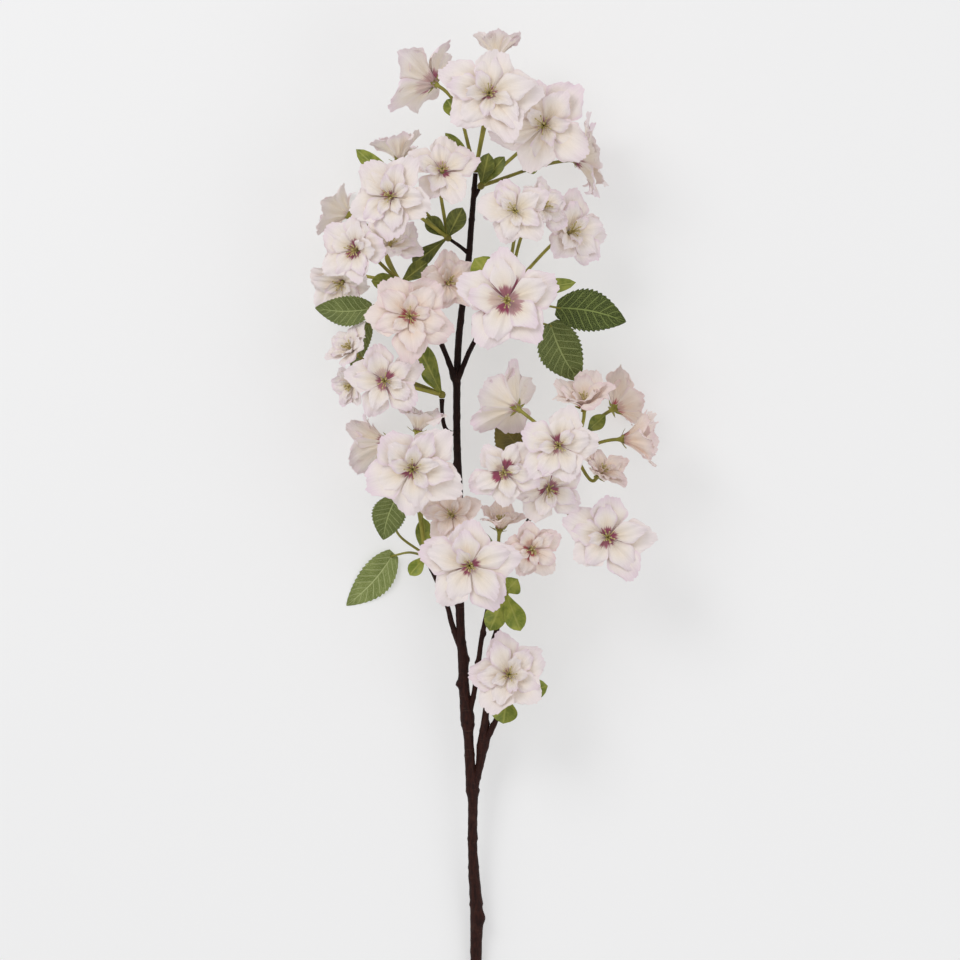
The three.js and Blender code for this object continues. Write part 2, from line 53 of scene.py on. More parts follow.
# Blooms: throat x, y, z, radius, the way the bloom faces, spin in degrees, tint, and how far its petals rise
# from the open state, in radians, where they do.
BLOOMS = [
    (-22.8, 574.2, 64, 29, -0.7, 0.45, -0.35, 20, "cream", 0.15),
    (11.4, 565.8, 86, 30, 0.05, 0.15, 1, 8, "cream"),
    (16.2, 590.4, 58, 19.8, 0.1, 0.9, -0.2, 10, "cream", 0.5),
    (44.4, 547.8, 69, 30, -0.1, 0, 1, 40, "cream"),
    (65.4, 529.2, 27.6, 28, 0.95, 0.1, -0.1, 18, "cream", 0.15),
    (-42.6, 529.2, 52, 19, -0.05, 1.01, -0.2, 22, "cream", 0.55),
    (-16.8, 520.8, 68, 21.6, 0.15, 0.35, 0.9, 15, "cream"),
    (-46.8, 504.6, 85, 25.8, -0.25, 0.1, 0.95, 60, "cream"),
    (-48.5, 475.6, 57.5, 22.8, 0.2, 0.7, 0.5, 25, "cream", 0.2),
    (-67.8, 473.4, 75, 22.2, -0.4, -0.05, 0.9, 0, "cream", 0.15),
    (-74.4, 496.8, 15.6, 19.8, -0.8, 0.4, -0.3, 14, "cream", 0.4),
    (-77, 455, 30, 21, -0.35, -0.35, 0.8, 12, "cream", 0.2),
    (-36, 433.2, 84, 27, 0, 0.1, 1, 48, "peach"),
    (-13, 454, 60, 20, 0.3, 0.2, 0.85, 22, "peach", 0.15),
    (22.2, 442.8, 88, 31.2, 0, 0, 1, 19, "cream"),
    (27, 496.2, 80, 21, -0.1, 0.1, 0.95, 33, "cream"),
    (42.6, 498.6, 65, 18, 0.5, 0.4, 0.6, 10, "cream", 0.25),
    (59.8, 484.6, 46, 25, 0.5, 0.25, 0.75, 4, "cream", 0.2),
    (-51, 395.4, 73, 22.8, 0, 0, 1, 28, "cream"),
    (-71, 414, 56, 16.5, -0.5, 0.45, 0.6, 6, "cream", 0.3),
    (-70.5, 393.5, 46, 14.5, -0.55, -0.35, 0.5, 12, "cream", 0.25),
    (-51, 358.8, 20.7, 26, -0.85, 0, -0.35, 34, "cream", 0.6),
    (-31, 367, 58, 19.5, 0.19, 0.95, 0.14, 14, "cream", 0.55),
    (-34.2, 342.6, 85, 29.4, 0, 0, 1, 52, "cream"),
    (-10.8, 315, 64, 19.2, -0.2, 0.2, 0.9, 20, "peach"),
    (0, 285, 84, 29.4, 0, 0, 1, 14, "cream"),
    (18, 308.4, 56, 16.8, 0.09, 0.85, 0.34, 43, "peach", 0.5),
    (36.6, 294.6, 70, 18, 0.2, -0.1, 0.9, 28, "peach"),
    (20.4, 340.8, 82, 20.4, 0, -0.1, 1, 58, "cream"),
    (52.8, 356.4, 88, 24.6, 0, 0, 1, 6, "cream"),
    (46.8, 331.2, 70, 21.6, 0.1, -0.2, 0.9, 32, "cream"),
    (82.2, 301.8, 62, 26.6, 0.1, 0, 1, 8, "cream"),
    (27, 380, 68, 28, -0.5, 0.4, -0.5, 16, "cream", 0.3),
    (68.4, 381, 62, 22.8, 0, 0.75, 0.5, 42, "peach", 0.4),
    (88.2, 379.8, 16.5, 22.8, 0.7, 0.4, -0.5, 24, "peach", 0.35),
    (93.6, 360.6, 50, 25, 0.95, 0.05, 0.1, 52, "peach", 0.6),
    (78.2, 340.2, 50, 17, 0.41, 0.55, 0.54, 8, "peach", 0.4),
    (23.4, 219, 54, 25.2, 0.05, 0.15, 0.95, 31, "cream"),
]
# How far the coloured blotch reaches from the throat, where it isn't the usual share of the petal.
BLOTCH = {
    1: 0.27, 2: 0.2, 4: 0.17, 5: 0.28, 7: 0.28, 8: 0.26, 10: 0.32, 13: 0.28, 15: 0.4, 16: 0.06, 17: 0.06, 18: 0.06,
    19: 0.36, 22: 0.18, 24: 0.23, 26: 0.21, 28: 0.36, 29: 0.36, 30: 0.27, 31: 0.3, 32: 0.28, 34: 0.24, 35: 0.27,
    36: 0.24, 38: 0.2,
}
BLOTCH_USUAL = 0.14

# The branch: limbs of x, y, z, radius.
STEM = [
    (4.2, 0, 3.4, 3.4), (3.6, 48, 5.6, 3.4), (3.9, 73.8, 8.2, 3.9), (1.6, 112.2, 13, 2.9), (1.7, 141, 16.5, 3),
    (1.2, 148.2, 17.5, 3.5), (0, 165, 19.5, 3.1), (-0.9, 180.6, 21.5, 3), (-1.8, 193.2, 23.5, 4),
    (-3.6, 211.2, 26, 3.1), (-4.2, 228.6, 28.5, 3.2), (-5.4, 240, 30.5, 2.7), (-6, 257.4, 33, 2.6),
    (-6.3, 294, 38, 2.4), (-6.6, 329.4, 42, 2.3), (-7.8, 358.2, 43.5, 2.2), (-7.8, 398.4, 44, 2.2),
    (-6, 429, 44, 2), (-1.2, 465, 44, 1.95), (0.6, 487.2, 44, 1.8), (1.8, 501.6, 44, 1.7),
    (3.3, 520.2, 44, 1.5),
]
TWIGS = {
    "right_upper": [
        (2.4, 150, 17.5, 2.4), (6, 165, 19.5, 2.6), (7.2, 174.6, 21.5, 3.2), (9.6, 196.2, 26, 2),
        (15.6, 242.4, 34, 1.7), (19.8, 273, 38, 1.7), (23.4, 288, 41, 1.5), (32.4, 307.2, 44, 1.4),
        (42.6, 322.8, 47, 1.4), (51.6, 338.4, 49, 1.3), (60, 350.4, 51, 1.2),
    ],
    "right_lower": [(42.2, 322.2, 46.8, 1.2), (42.2, 325, 50, 1)],
    "leaflets": [(19.6, 272.4, 38, 1.4), (20.6, 270, 41.2, 1)],
    "lowest": [(7.2, 174.6, 21.5, 2.2), (14.4, 188.4, 26, 1.7), (17.4, 196.2, 30, 1.5), (21, 204, 33.5, 1.4)],
    "lower_centre": [
        (-1.8, 193.2, 23.5, 2.2), (1.2, 201.6, 26, 1.6), (4.2, 219, 30, 1.6), (7.2, 241.8, 35, 1.5),
        (13.2, 270, 41, 1.4), (16.8, 290.4, 45, 1.3),
    ],
    "lower_left": [
        (-5.4, 234, 29.5, 2), (-10.8, 249, 31, 1.7), (-13.8, 260.4, 31, 1.5), (-20.4, 276, 31, 1.4),
        (-25.8, 288, 31, 1.3),
    ],
    "left": [
        (-7.8, 393.6, 44, 2), (-13.2, 408, 48, 1.6), (-18.6, 421.2, 50, 1.6), (-22.8, 430.8, 52, 1.5),
        (-32.4, 445.2, 53.5, 1.3), (-39.6, 452.4, 53.6, 1),
    ],
    "centre": [
        (-7.8, 396, 44, 2), (-3.6, 405.6, 47, 1.6), (0.6, 415.2, 49, 1.5), (9.6, 430.8, 52, 1.4),
        (19.8, 445.2, 54, 1.3),
    ],
    "middle_left": [
        (-7.2, 363.6, 44, 1.8), (-12.6, 364.8, 47, 1.3), (-15.6, 369, 49, 1.3), (-16.8, 378, 50.5, 1.2),
        (-16.8, 384.6, 51, 1.6),
    ],
    "upper_left": [(0, 471.6, 44, 1.6), (-5.4, 475.8, 46.5, 1.1), (-11.4, 480, 49, 1)],
    "upper_right": [(2.1, 505.2, 44, 1.5), (5.4, 510.6, 46, 1.1)],
}
# Knobs of the bark, where a leaf once grew: x, y, z of the middle, height, spread.
KNOBS = [
    (7.8, 71, 10, 2.2, 3.2), (4.5, 148, 19, 1.0, 3.5), (-6.4, 213, 27, 2.6, 2.1), (0.4, 228, 30, 2.6, 2.0),
    (-0.8, 192, 25, 1.2, 4.0), (9.0, 176, 22, 1.5, 3.4), (-8.5, 262, 34, 1.2, 2.2), (-4.0, 300, 40, 1.0, 2.2),
    (-10.2, 345, 44, 1.4, 2.0), (-9.5, 398, 45, 1.5, 2.6), (-4.6, 431, 46, 1.0, 2.0), (15.0, 240, 35, 1.5, 2.8),
    (11.8, 189, 24, 2.0, 1.7), (4.4, 226, 31, 1.4, 1.5), (7.0, 120, 15, 0.9, 2.6), (1.2, 96, 12, 0.9, 2.4),
    (-20.9, 419, 52, 1.3, 1.7), (1.6, 406, 48, 1.2, 1.7), (-15.0, 405, 49, 1.0, 1.6), (-25.5, 431, 53, 1.0, 1.6),
    (9.0, 243, 36, 1.1, 1.7), (0.5, 285, 38, 0.9, 1.8), (-4.6, 322, 43, 0.9, 1.8), (-16.9, 250, 32, 0.8, 1.5),
]

# Clusters: their blooms, and their small leaves as bloom number (0 for the hub), tip, width and shade.
CLUSTERS = {
    "tip": ([1, 2, 3], [(1, (-14, 564, 60), 8, 0.5), (0, (-14, 543, 58), 6, 0.3)]),
    "upper_right": (
        [4, 5], [(0, (11, 531, 58), 8, 0.2), (0, (20, 529, 57), 7, 0.3), (5, (40, 527, 56), 8, 0.4)],
    ),
    "upper_left": (
        [6, 7, 8],
        [(0, (-35, 465, 40), 8, 0.1), (0, (-26, 493, 55), 8, 0.1), (0, (-5, 498, 62), 9, 0.1),
         (6, (-68, 534, 58), 8, 0.6)],
    ),
    "left": ([9, 10, 11, 12, 13, 14], [(0, (-58, 455, 64), 8, 0.5), (0, (-26, 466, 60), 8, 0.2)]),
    "centre": ([15, 16, 17, 18], [(0, (3, 468, 62), 14, 0.8), (0, (62, 454, 68), 7, 0.5)]),
    "middle_left": ([19, 20, 21], [(0, (-32, 418, 62), 10, 0.4), (0, (-27, 405, 56), 8, 0.7)]),
    "lower_left": ([22, 23, 24, 25], [(0, (-28, 312, 44), 8, 0.5), (0, (-36, 279, 36), 7, 0.8)]),
    "lower_centre": ([26, 27, 28], [(0, (2, 304, 54), 7, 0.4)]),
    "right_upper": ([30, 33, 34, 35, 36, 37], [(35, (80, 374, 54), 7, 0.5)]),
    "right_lower": ([29, 31, 32], []),
    "lowest": ([38], [(0, (20, 190, 40), 12, 0.6), (0, (46, 212, 42), 10, 0.7)]),
    "leaflets": ([], [(0, (28, 276, 54), 10, 0.7), (0, (30, 246, 50), 10, 0.8), (0, (12, 246, 50), 10, 0.7)]),
}
# Large leaves: the cluster that each grows beside, a bend of its stalk, its foot, its tip, its width, how
# pale it is, and whether it shows its underside.
LEAVES = [
    ("centre", (39, 442, 60), (51.6, 439.2, 62), (93.6, 430.8, 60), 25, 0.1, 0),
    ("centre", (34, 433.5, 54.5), (48, 430.2, 57), (66, 395, 46), 26, 0.4, 0),
    ("left", (-51.6, 444.5, 57.5), (-58.8, 438.6, 59), (-93, 439.2, 52), 18, 0.5, 0),
    ("left", (-52, 440, 49), (-60.4, 430.8, 50), (-70.8, 401.4, 36), 12, 0.6, 0),
    ("lower_left", (-37.2, 292.2, 18), (-46.2, 291.6, 1.4), (-75, 259.8, 0.4), 20, 0.9, 0),
    ("lower_left", (-44, 305, 43), (-44, 326, 52), (-52.2, 300, 46), 20, 0.5, 0),
    ("right_lower", (39.6, 342, 52), (35.4, 350.2, 49), (16.8, 374.2, 33), 22, 0.0, 1),
]
BLADE = 0.8  # thickness of the source's leaves
LEAF_FOLD = 0.22  # rise of a leaf's edges for each millimetre across
LEAF_WAVE = 0.5
LEAF_SAG = 0.06
LEAFSTALK_RADIUS = 0.75
FLOOR_GAP = 0.25  # the thin sheets lie this far over the surface
FLOOR_RIPPLE = 0.02  # keeps what is lifted on to the floor from lying quite flat
CAP_BULGE = 0.15  # how far a tube's shut end stands out, as a share of its last step
SEPALS = 5

# ---- where the source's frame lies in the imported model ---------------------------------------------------
METRE = 0.001  # one millimetre of the source, in the model's metres
CUT_REACH = 0.5  # the points this near the lowest one belong to the stem's cut end
branch_points = np.array([v.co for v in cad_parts["branch"].data.vertices])
branch_points = np.unique(np.round(branch_points, 6), axis=0)
cut_ring = branch_points[branch_points[:, 1] < branch_points[:, 1].min() + CUT_REACH * METRE]
SHIFT = cut_ring.mean(axis=0) / METRE - np.array(CUT_END)
SHIFT[2] = 0.0


def unit(v):
    """Vectors of any array scaled to length one."""
    v = np.asarray(v, float)
    return v / np.linalg.norm(v, axis=-1, keepdims=True)


class Surface:
    """Collects grids of points into one mesh, with a uv map and a colour attribute."""

    def __init__(self):
        self.points, self.faces, self.uvs, self.tones, self.count = [], [], [], [], 0

    def grid(self, points, uv, tone, closed=False, shut=False):
        """points is rows x columns x 3. closed joins the last column to the first, and shut ends the last row."""
        rows, columns, _ = points.shape
        index = np.arange(rows * columns).reshape(rows, columns) + self.count
        if closed:
            index = np.concatenate([index, index[:, :1]], axis=1)
        faces = np.stack([index[:-1, :-1], index[:-1, 1:], index[1:, 1:], index[1:, :-1]], axis=-1)
        self.faces.append(faces.reshape(-1, 4))
        self.points.append(points.reshape(-1, 3))
        self.uvs.append(np.broadcast_to(uv, (rows, columns, 2)).reshape(-1, 2))
        self.tones.append(np.broadcast_to(tone, (rows, columns, 3)).reshape(-1, 3))
        self.count += rows * columns
        if shut:
            last = points[-1].mean(axis=0)
            middle = last + (last - points[-2].mean(axis=0)) * CAP_BULGE
            cap = np.stack([points[-1], np.broadcast_to(middle, (columns, 3))])
            uv_cap = np.broadcast_to(uv, (rows, columns, 2))[-1:]
            tone_cap = np.broadcast_to(tone, (rows, columns, 3))[-1:]
            self.grid(cap, np.repeat(uv_cap, 2, axis=0), np.repeat(tone_cap, 2, axis=0), closed)

    def build(self, name, material, slot, nodes):
        """Makes the piece, in place of the nodes. What would lie under the floor is lifted on to it."""
        points = np.concatenate(self.points) + SHIFT
        low = points[:, 2] < FLOOR_GAP
        points[low, 2] = FLOOR_GAP + FLOOR_RIPPLE * np.sin(points[low, 0]) * np.cos(points[low, 1])
        faces = np.concatenate(self.faces)
        mesh = bpy.data.meshes.new(name)
        mesh.vertices.add(len(points))
        mesh.vertices.foreach_set("co", (points * METRE).astype(np.float32).ravel())
        mesh.loops.add(faces.size)
        mesh.loops.foreach_set("vertex_index", faces.astype(np.int32).ravel())
        mesh.polygons.add(len(faces))
        mesh.polygons.foreach_set("loop_start", np.arange(0, faces.size, 4, dtype=np.int32))
        mesh.update(calc_edges=True)
        mesh.uv_layers.new(name="uv")
        uv = np.concatenate(self.uvs)[faces.ravel()]
        mesh.uv_layers["uv"].data.foreach_set("uv", uv.astype(np.float32).ravel())
        tone = np.concatenate(self.tones)
        colour = mesh.color_attributes.new("tone", "FLOAT_COLOR", "POINT")
        rgba = np.concatenate([tone, np.ones((len(tone), 1))], axis=1)
        colour.data.foreach_set("color", rgba.astype(np.float32).ravel())
        mesh.shade_smooth()
        mesh.validate(clean_customdata=False)
        mesh.materials.append(material)
        piece = bpy.data.objects.new(name, mesh)
        bpy.context.scene.collection.objects.link(piece)
        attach(piece, "root")
        if nodes:
            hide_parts(*nodes)
        return piece


# ---- shapes ----------------------------------------------------------------------------------------------
def resample(stations, step):
    """A smooth line through stations of x, y, z, radius (Catmull-Rom), with a point about every step."""
    p = np.array(stations, float)
    padded = np.vstack([2 * p[0] - p[1], p, 2 * p[-1] - p[-2]])
    out = []
    for i in range(len(p) - 1):
        a, b, c, d = padded[i : i + 4]
        count = max(2, int(np.linalg.norm(c[:3] - b[:3]) / step))
        t = np.linspace(0, 1, count, endpoint=False)[:, None]
        square, cube = 2 * a - 5 * b + 4 * c - d, 3 * b - a - 3 * c + d
        out.append(0.5 * (2 * b + (c - a) * t + square * t**2 + cube * t**3))
    out.append(p[-1:])
    return np.vstack(out)


def frames(line):
    """Two directions across a line at each of its points, which turn with it as little as they can."""
    along = unit(np.gradient(line, axis=0))
    across = np.cross((0.0, 0.0, 1.0), along[0])
    across = unit(across) if np.linalg.norm(across) > 0.1 else np.array((1.0, 0.0, 0.0))
    first = []
    for direction in along:
        across = unit(across - direction * across.dot(direction))
        first.append(across)
    first = np.array(first)
    return first, np.cross(along, first)


def tube(line, radii, sides):
    """Rings round a line: rows x sides x 3."""
    across, up = frames(line)
    turn = np.arange(sides) * 2 * math.pi / sides
    ring = across[:, None] * np.cos(turn)[None, :, None] + up[:, None] * np.sin(turn)[None, :, None]
    return line[:, None] + ring * np.reshape(radii, (len(line), -1))[:, :, None]


def length_along(line):
    """How far each point of a line is from its start, along it."""
    return np.concatenate([[0], np.cumsum(np.linalg.norm(np.diff(line, axis=0), axis=1))])


def tube_uv(line, sides):
    """Once round the tube, and a hundredth of its length in millimetres."""
    run = length_along(line)
    around = np.arange(sides) / sides
    return np.stack(np.broadcast_arrays(around[None, :], run[:, None] * 0.01), axis=-1)


def bezier(a, b, c, d, count):
    """A smooth line from a to d that leaves towards b and arrives from c."""
    t = np.linspace(0, 1, count)[:, None]
    a, b, c, d = (np.asarray(p, float) for p in (a, b, c, d))
    return a * (1 - t) ** 3 + 3 * b * t * (1 - t) ** 2 + 3 * c * t * t * (1 - t) + d * t**3


def petal_width(s):
    """Share of a petal's half width at s: narrow at the throat, widest three quarters of the way out."""
    return 0.2 + 0.8 * np.sin(np.pi * 0.62 * s) ** 1.5


def petal(angle, foot, length, half_width, lift, curl, phase, rows, columns, ruffle):
    """A petal's points in its bloom's frame, facing +Z with the throat at the origin, and its s and v.

    s runs from the throat (0) to the tip (1), and v from edge to edge (-1 to 1). The lines below add one feature
    of the fabric after another: the teeth and the dent of the tip, the wavy side, two sizes of frill, creases,
    the rib and a rolled edge.
    """
    s = np.linspace(0, 1, rows)[:, None] ** 0.9
    v = np.linspace(-1, 1, columns)[None, :]
    s, v = np.broadcast_arrays(s, v)
    outer = np.abs(v)
    teeth = 0.015 * np.sin(17 * v + 3 * phase) + 0.013 * np.sin(31 * v + 5 * phase)
    teeth = teeth + 0.022 * np.sin(4.5 * v + phase)
    dent = 0.035 * np.exp(-(((v - 0.3 * np.sin(phase)) / 0.2) ** 2)) * (1 + np.sin(2.7 * phase))
    along = length * (s - 0.36 * s**2.4 * v * v) + length * (teeth - dent) * s**7
    edge = 1 - 0.09 * outer**3 * s**5 + 0.018 * np.sin(19 * s + phase * v) * outer**8 * s
    side = half_width * petal_width(s) * v * edge
    side = side + 0.05 * length * np.sin(1.3 * phase) * s * s
    wave = FRILL * length * s**3 * np.cos(2.6 * v + phase)
    small = 0.034 * np.sin(5.2 * v + 2.3 * phase) + 0.014 * np.sin(11 * v + phase)
    wave = wave + ruffle * length * s**3 * small
    crease = 0.017 * length * np.cos(8 * v + 1.7 * phase) * np.sin(np.pi * s) ** 0.8
    rib = -0.03 * length * np.exp(-((v / 0.14) ** 2)) * np.sin(np.pi * s**0.8)
    rolled = 0.08 * length * outer**3 * s**1.5 * np.sin(1.7 * phase + 1.2 * np.sign(v))
    throat = -0.1 * length * (1 - s) ** 5
    height = length * (0.1 * s - curl * s**3) + side * PINWHEEL * s + CUP * half_width * v * v * s
    height = height + wave + crease + rib + rolled
    out = along * math.cos(lift) - height * math.sin(lift) + 0.9
    up = along * math.sin(lift) + height * math.cos(lift) + throat
    x = math.cos(angle) * out - math.sin(angle) * side
    y = math.sin(angle) * out + math.cos(angle) * side
    return np.stack([x, y, foot + up], axis=-1), s, v


def bloom_axes(row):
    """The throat of a bloom, and its axes as rows, the last of which is the way that it faces."""
    x, y, z, _, fx, fy, fz, spin = row[:8]
    w = unit((fx, fy, fz))
    reference = (0.0, 0.0, 1.0) if abs(w[1]) > 0.8 else (0.0, 1.0, 0.0)
    a = unit(np.cross(reference, w))
    b = np.cross(w, a)
    c, d = math.cos(math.radians(spin)), math.sin(math.radians(spin))
    return np.array((x, y, z), float), np.array([a * c + b * d, b * c - a * d, w])


# Layers of petals: share of the radius, lift, curl, foot, turn, width over length, rows, columns, ruffle.
LAYERS = [
    (1.0, 0.2, 0.16, -0.3, 0.0, 0.87, 26, 37, 1.3),
    (0.8, 0.44, 0.26, 0.2, 0.14, 0.73, 22, 29, 1.7),
    (0.56, 0.75, 0.2, 0.5, 0.5, 0.6, 16, 19, 1.7),
]
# How many of the five small inner petals a bloom has, where it isn't the usual two.
INNER_PETALS = {2: 4, 4: 3, 7: 1, 8: 4, 10: 1, 13: 4, 15: 0, 19: 1, 24: 4, 26: 1, 28: 3, 29: 1, 32: 1, 38: 4}
INNER_USUAL = 2


def rise_of(row):
    """How far a bloom's petals rise from the open state."""
    return row[9] if len(row) > 9 else 0


def petals(number, row):
    """The petals of a bloom: two full layers and a few small ones, each a little different."""
    radius, spin = row[3], row[7]
    throat, axes = bloom_axes(row)
    surface = Surface()
    rng = np.random.default_rng(number)
    blotch = BLOTCH.get(number, BLOTCH_USUAL)
    rise = rise_of(row)
    for layer, (share, lift, curl, foot, turn, wide, rows, columns, ruffle) in enumerate(LAYERS):
        size = radius * share
        lift = lift + rise
        count = PETALS if layer < 2 else INNER_PETALS.get(number, INNER_USUAL)
        for k in range(count):
            i = k if layer < 2 else (2 * k + number) % PETALS
            jitter = rng.uniform(-1, 1, 6)
            points, s, v = petal(
                (i + turn + 0.09 * jitter[0]) * 2 * math.pi / PETALS,
                foot,
                size * (1 + 0.07 * math.sin(3 * i + spin)) * (1 + 0.04 * jitter[1]),
                size * wide / 2 * (1 + 0.08 * jitter[2]),
                lift + 0.06 * math.sin(5 * i + spin) + 0.1 * jitter[3],
                curl * (1 + 0.5 * jitter[4]),
                2 * i + spin,
                rows,
                columns,
                ruffle,
            )
            uv = np.stack([v * 0.5 + 0.5, s], axis=-1)
            tone = (blotch * (1 + 0.35 * jitter[5]), 0.5 + 0.5 * jitter[0], 0.5 + 0.5 * jitter[4])
            surface.grid(throat + points @ axes, uv, tone)
    return surface


STAMEN_COUNT = 11  # the first one is the style, which stands up straighter and higher


def stamens(number, row):
    """The stamens of a bloom: thin stalks that bend outward, each with a small oval head, and the style."""
    radius = row[3]
    throat, axes = bloom_axes(row)
    surface = Surface()
    rng = np.random.default_rng(100 + number)
    for i in range(STAMEN_COUNT):
        angle = i * 2 * math.pi / STAMEN_COUNT + rng.uniform(-0.25, 0.25)
        height = radius * rng.uniform(0.24, 0.36) * (1.15 if i == 0 else 1)
        lean = 0.1 if i == 0 else rng.uniform(0.2, 0.6)
        out = np.array((math.cos(angle), math.sin(angle), 0.0))
        top = out * height * lean + np.array((0, 0, height))
        bend = out * height * lean * 0.15 + np.array((0, 0, height * 0.6))
        line = bezier(out * 0.6, out * 0.7 + bend * 0.5, bend, top, 6)
        thread = tube(line, np.linspace(0.42, 0.24, 6), 5)
        surface.grid(throat + thread @ axes, (0.2, 0.3), (0, 0.3, 0), True, True)
        t = np.linspace(0, 1, 5)
        direction = unit(line[-1] - line[-2])
        head = line[-1] + direction * np.linspace(-0.35, 1.15, 5)[:, None]
        radii = 0.52 * np.sin(np.pi * (0.08 + 0.84 * t)) ** 0.6
        tone = (1, rng.uniform(0, 1), 0)
        surface.grid(throat + tube(head, radii, 6) @ axes, (0.8, 0.9), tone, True, True)
    return surface


def seat_of(name):
    """The hub of a cluster, just beyond its twig's end, and the way that the twig points."""
    stations = np.array(TWIGS.get(name, STEM))[-2:, :3]
    along = unit(stations[1] - stations[0])
    return stations[1] + along * (JOINT_GAP + HUB_RADIUS), along, stations[1] + along * JOINT_GAP


def stalk_line(hub, row, count):
    """A stalk's line from its hub to the foot of a bloom's calyx, the calyx's rim, and the way the bloom faces."""
    throat, axes = bloom_axes(row)
    facing = axes[2]
    seat = throat - facing * SEAT
    foot = seat - facing * CALYX_LENGTH
    reach = np.linalg.norm(hub - foot)
    return bezier(hub, hub + 0.35 * (foot - hub), foot - facing * reach * 0.35, foot, count), seat, facing


def small_leaf(surface, foot, tip, width, shade, seed):
    """A small smooth leaf with a narrow foot and a blunt point, folded along its rib and bent back at its tip."""
    foot, tip = np.asarray(foot, float), np.asarray(tip, float)
    run = tip - foot
    length = np.linalg.norm(run)
    side = unit(np.cross((0, 0, 1), run))
    up = np.cross(unit(run), side)
    s = np.linspace(0, 1, 16)[:, None]
    v = np.linspace(-1, 1, 9)[None, :]
    s, v = np.broadcast_arrays(s, v)
    rng = np.random.default_rng(seed)
    half = width * 0.66 * (0.1 + 0.9 * np.sin(np.pi * s**1.9) ** 0.7)
    half = half * np.clip((1 - s) / 0.07, 0.02, 1) ** 0.5
    rise = 0.32 * np.abs(v) * half + 0.05 * length * np.sin(np.pi * s) - 0.1 * length * s**3
    rise = rise + 0.25 * np.sin(7 * s + rng.uniform(0, 6)) * np.abs(v)
    points = foot + run * s[..., None] + side * (half * v)[..., None] + up * rise[..., None]
    surface.grid(points, np.stack([v * 0.5 + 0.5, s], axis=-1), (shade, rng.uniform(0, 1), 0))


def calyx(surface, seat, facing, seed, rise):
    """The green cup under a bloom, with five sepals bent along the petals."""
    base = seat - facing * CALYX_LENGTH
    t = np.linspace(0, 1, 9)
    radii = 1.05 + 1.9 * t**1.6
    line = base + facing * (CALYX_LENGTH * t)[:, None]
    surface.grid(tube(line, radii, 14), tube_uv(line, 14), (0.45, 0.5, 0), True, True)
    first, second = frames(line)
    rng = np.random.default_rng(seed)
    s = np.linspace(0, 1, 8)[:, None]
    v = np.linspace(-1, 1, 5)[None, :]
    s, v = np.broadcast_arrays(s, v)
    for i in range(SEPALS):
        angle = i * 2 * math.pi / SEPALS + rng.uniform(-0.15, 0.15)
        out = first[0] * math.cos(angle) + second[0] * math.sin(angle)
        across = np.cross(facing, out)
        reach = 2.4 + 4.2 * s * rng.uniform(0.8, 1.15)
        drop = -1.3 - 0.7 * s + 0.5 * s * s - 0.3 * np.abs(v) + (reach - 2.4) * math.tan(0.9 * rise)
        half = 1.3 * (1 - s**1.6) + 0.05
        points = seat + out * reach[..., None] + across * (half * v)[..., None]
        points = points + facing * (drop + 0.2)[..., None]
        surface.grid(points, np.stack([v * 0.5 + 0.5, s], axis=-1), (0.5, rng.uniform(0, 1), 0))


def stalks(name):
    """The stalks of a cluster with its hub and calyxes, and its small leaves, as two surfaces."""
    numbers, leaves = CLUSTERS[name]
    hub, along, foot = seat_of(name)
    green, small = Surface(), Surface()
    stations = np.array([foot, foot + along * 0.9, hub, hub + along * 1.4, hub + along * HUB_RADIUS])
    green.grid(tube(stations, [1.4, 2.0, 2.3, 1.8, 0.7], 12), tube_uv(stations, 12), (0.3, 0.5, 0), True, True)
    for number in numbers:
        row = BLOOMS[number - 1]
        line, seat, facing = stalk_line(hub, row, 22)
        t = np.linspace(0, 1, len(line))
        radii = 1.0 + 0.35 * (1 - t) ** 3 + 0.1 * t**4
        green.grid(tube(line, radii, 9), tube_uv(line, 9), (0.35 + 0.03 * (number % 5), 0.5, 0), True)
        calyx(green, seat, facing, number, rise_of(row))
    for i, (number, tip, width, shade) in enumerate(leaves):
        start = hub
        if number:
            start = stalk_line(hub, BLOOMS[number - 1], 21)[0][10]
        small_leaf(small, start, tip, width, shade, 31 * i + len(name))
    return green, small


def leaf_width(s):
    """Share of a large leaf's half width at s from its foot (0) to its tip (1)."""
    return np.sin(np.pi * (0.06 + 0.94 * s) ** 0.85) ** 0.8


LEAF_TEETH = 15
TOOTH_RISE = 0.85  # share of a tooth that its long side takes


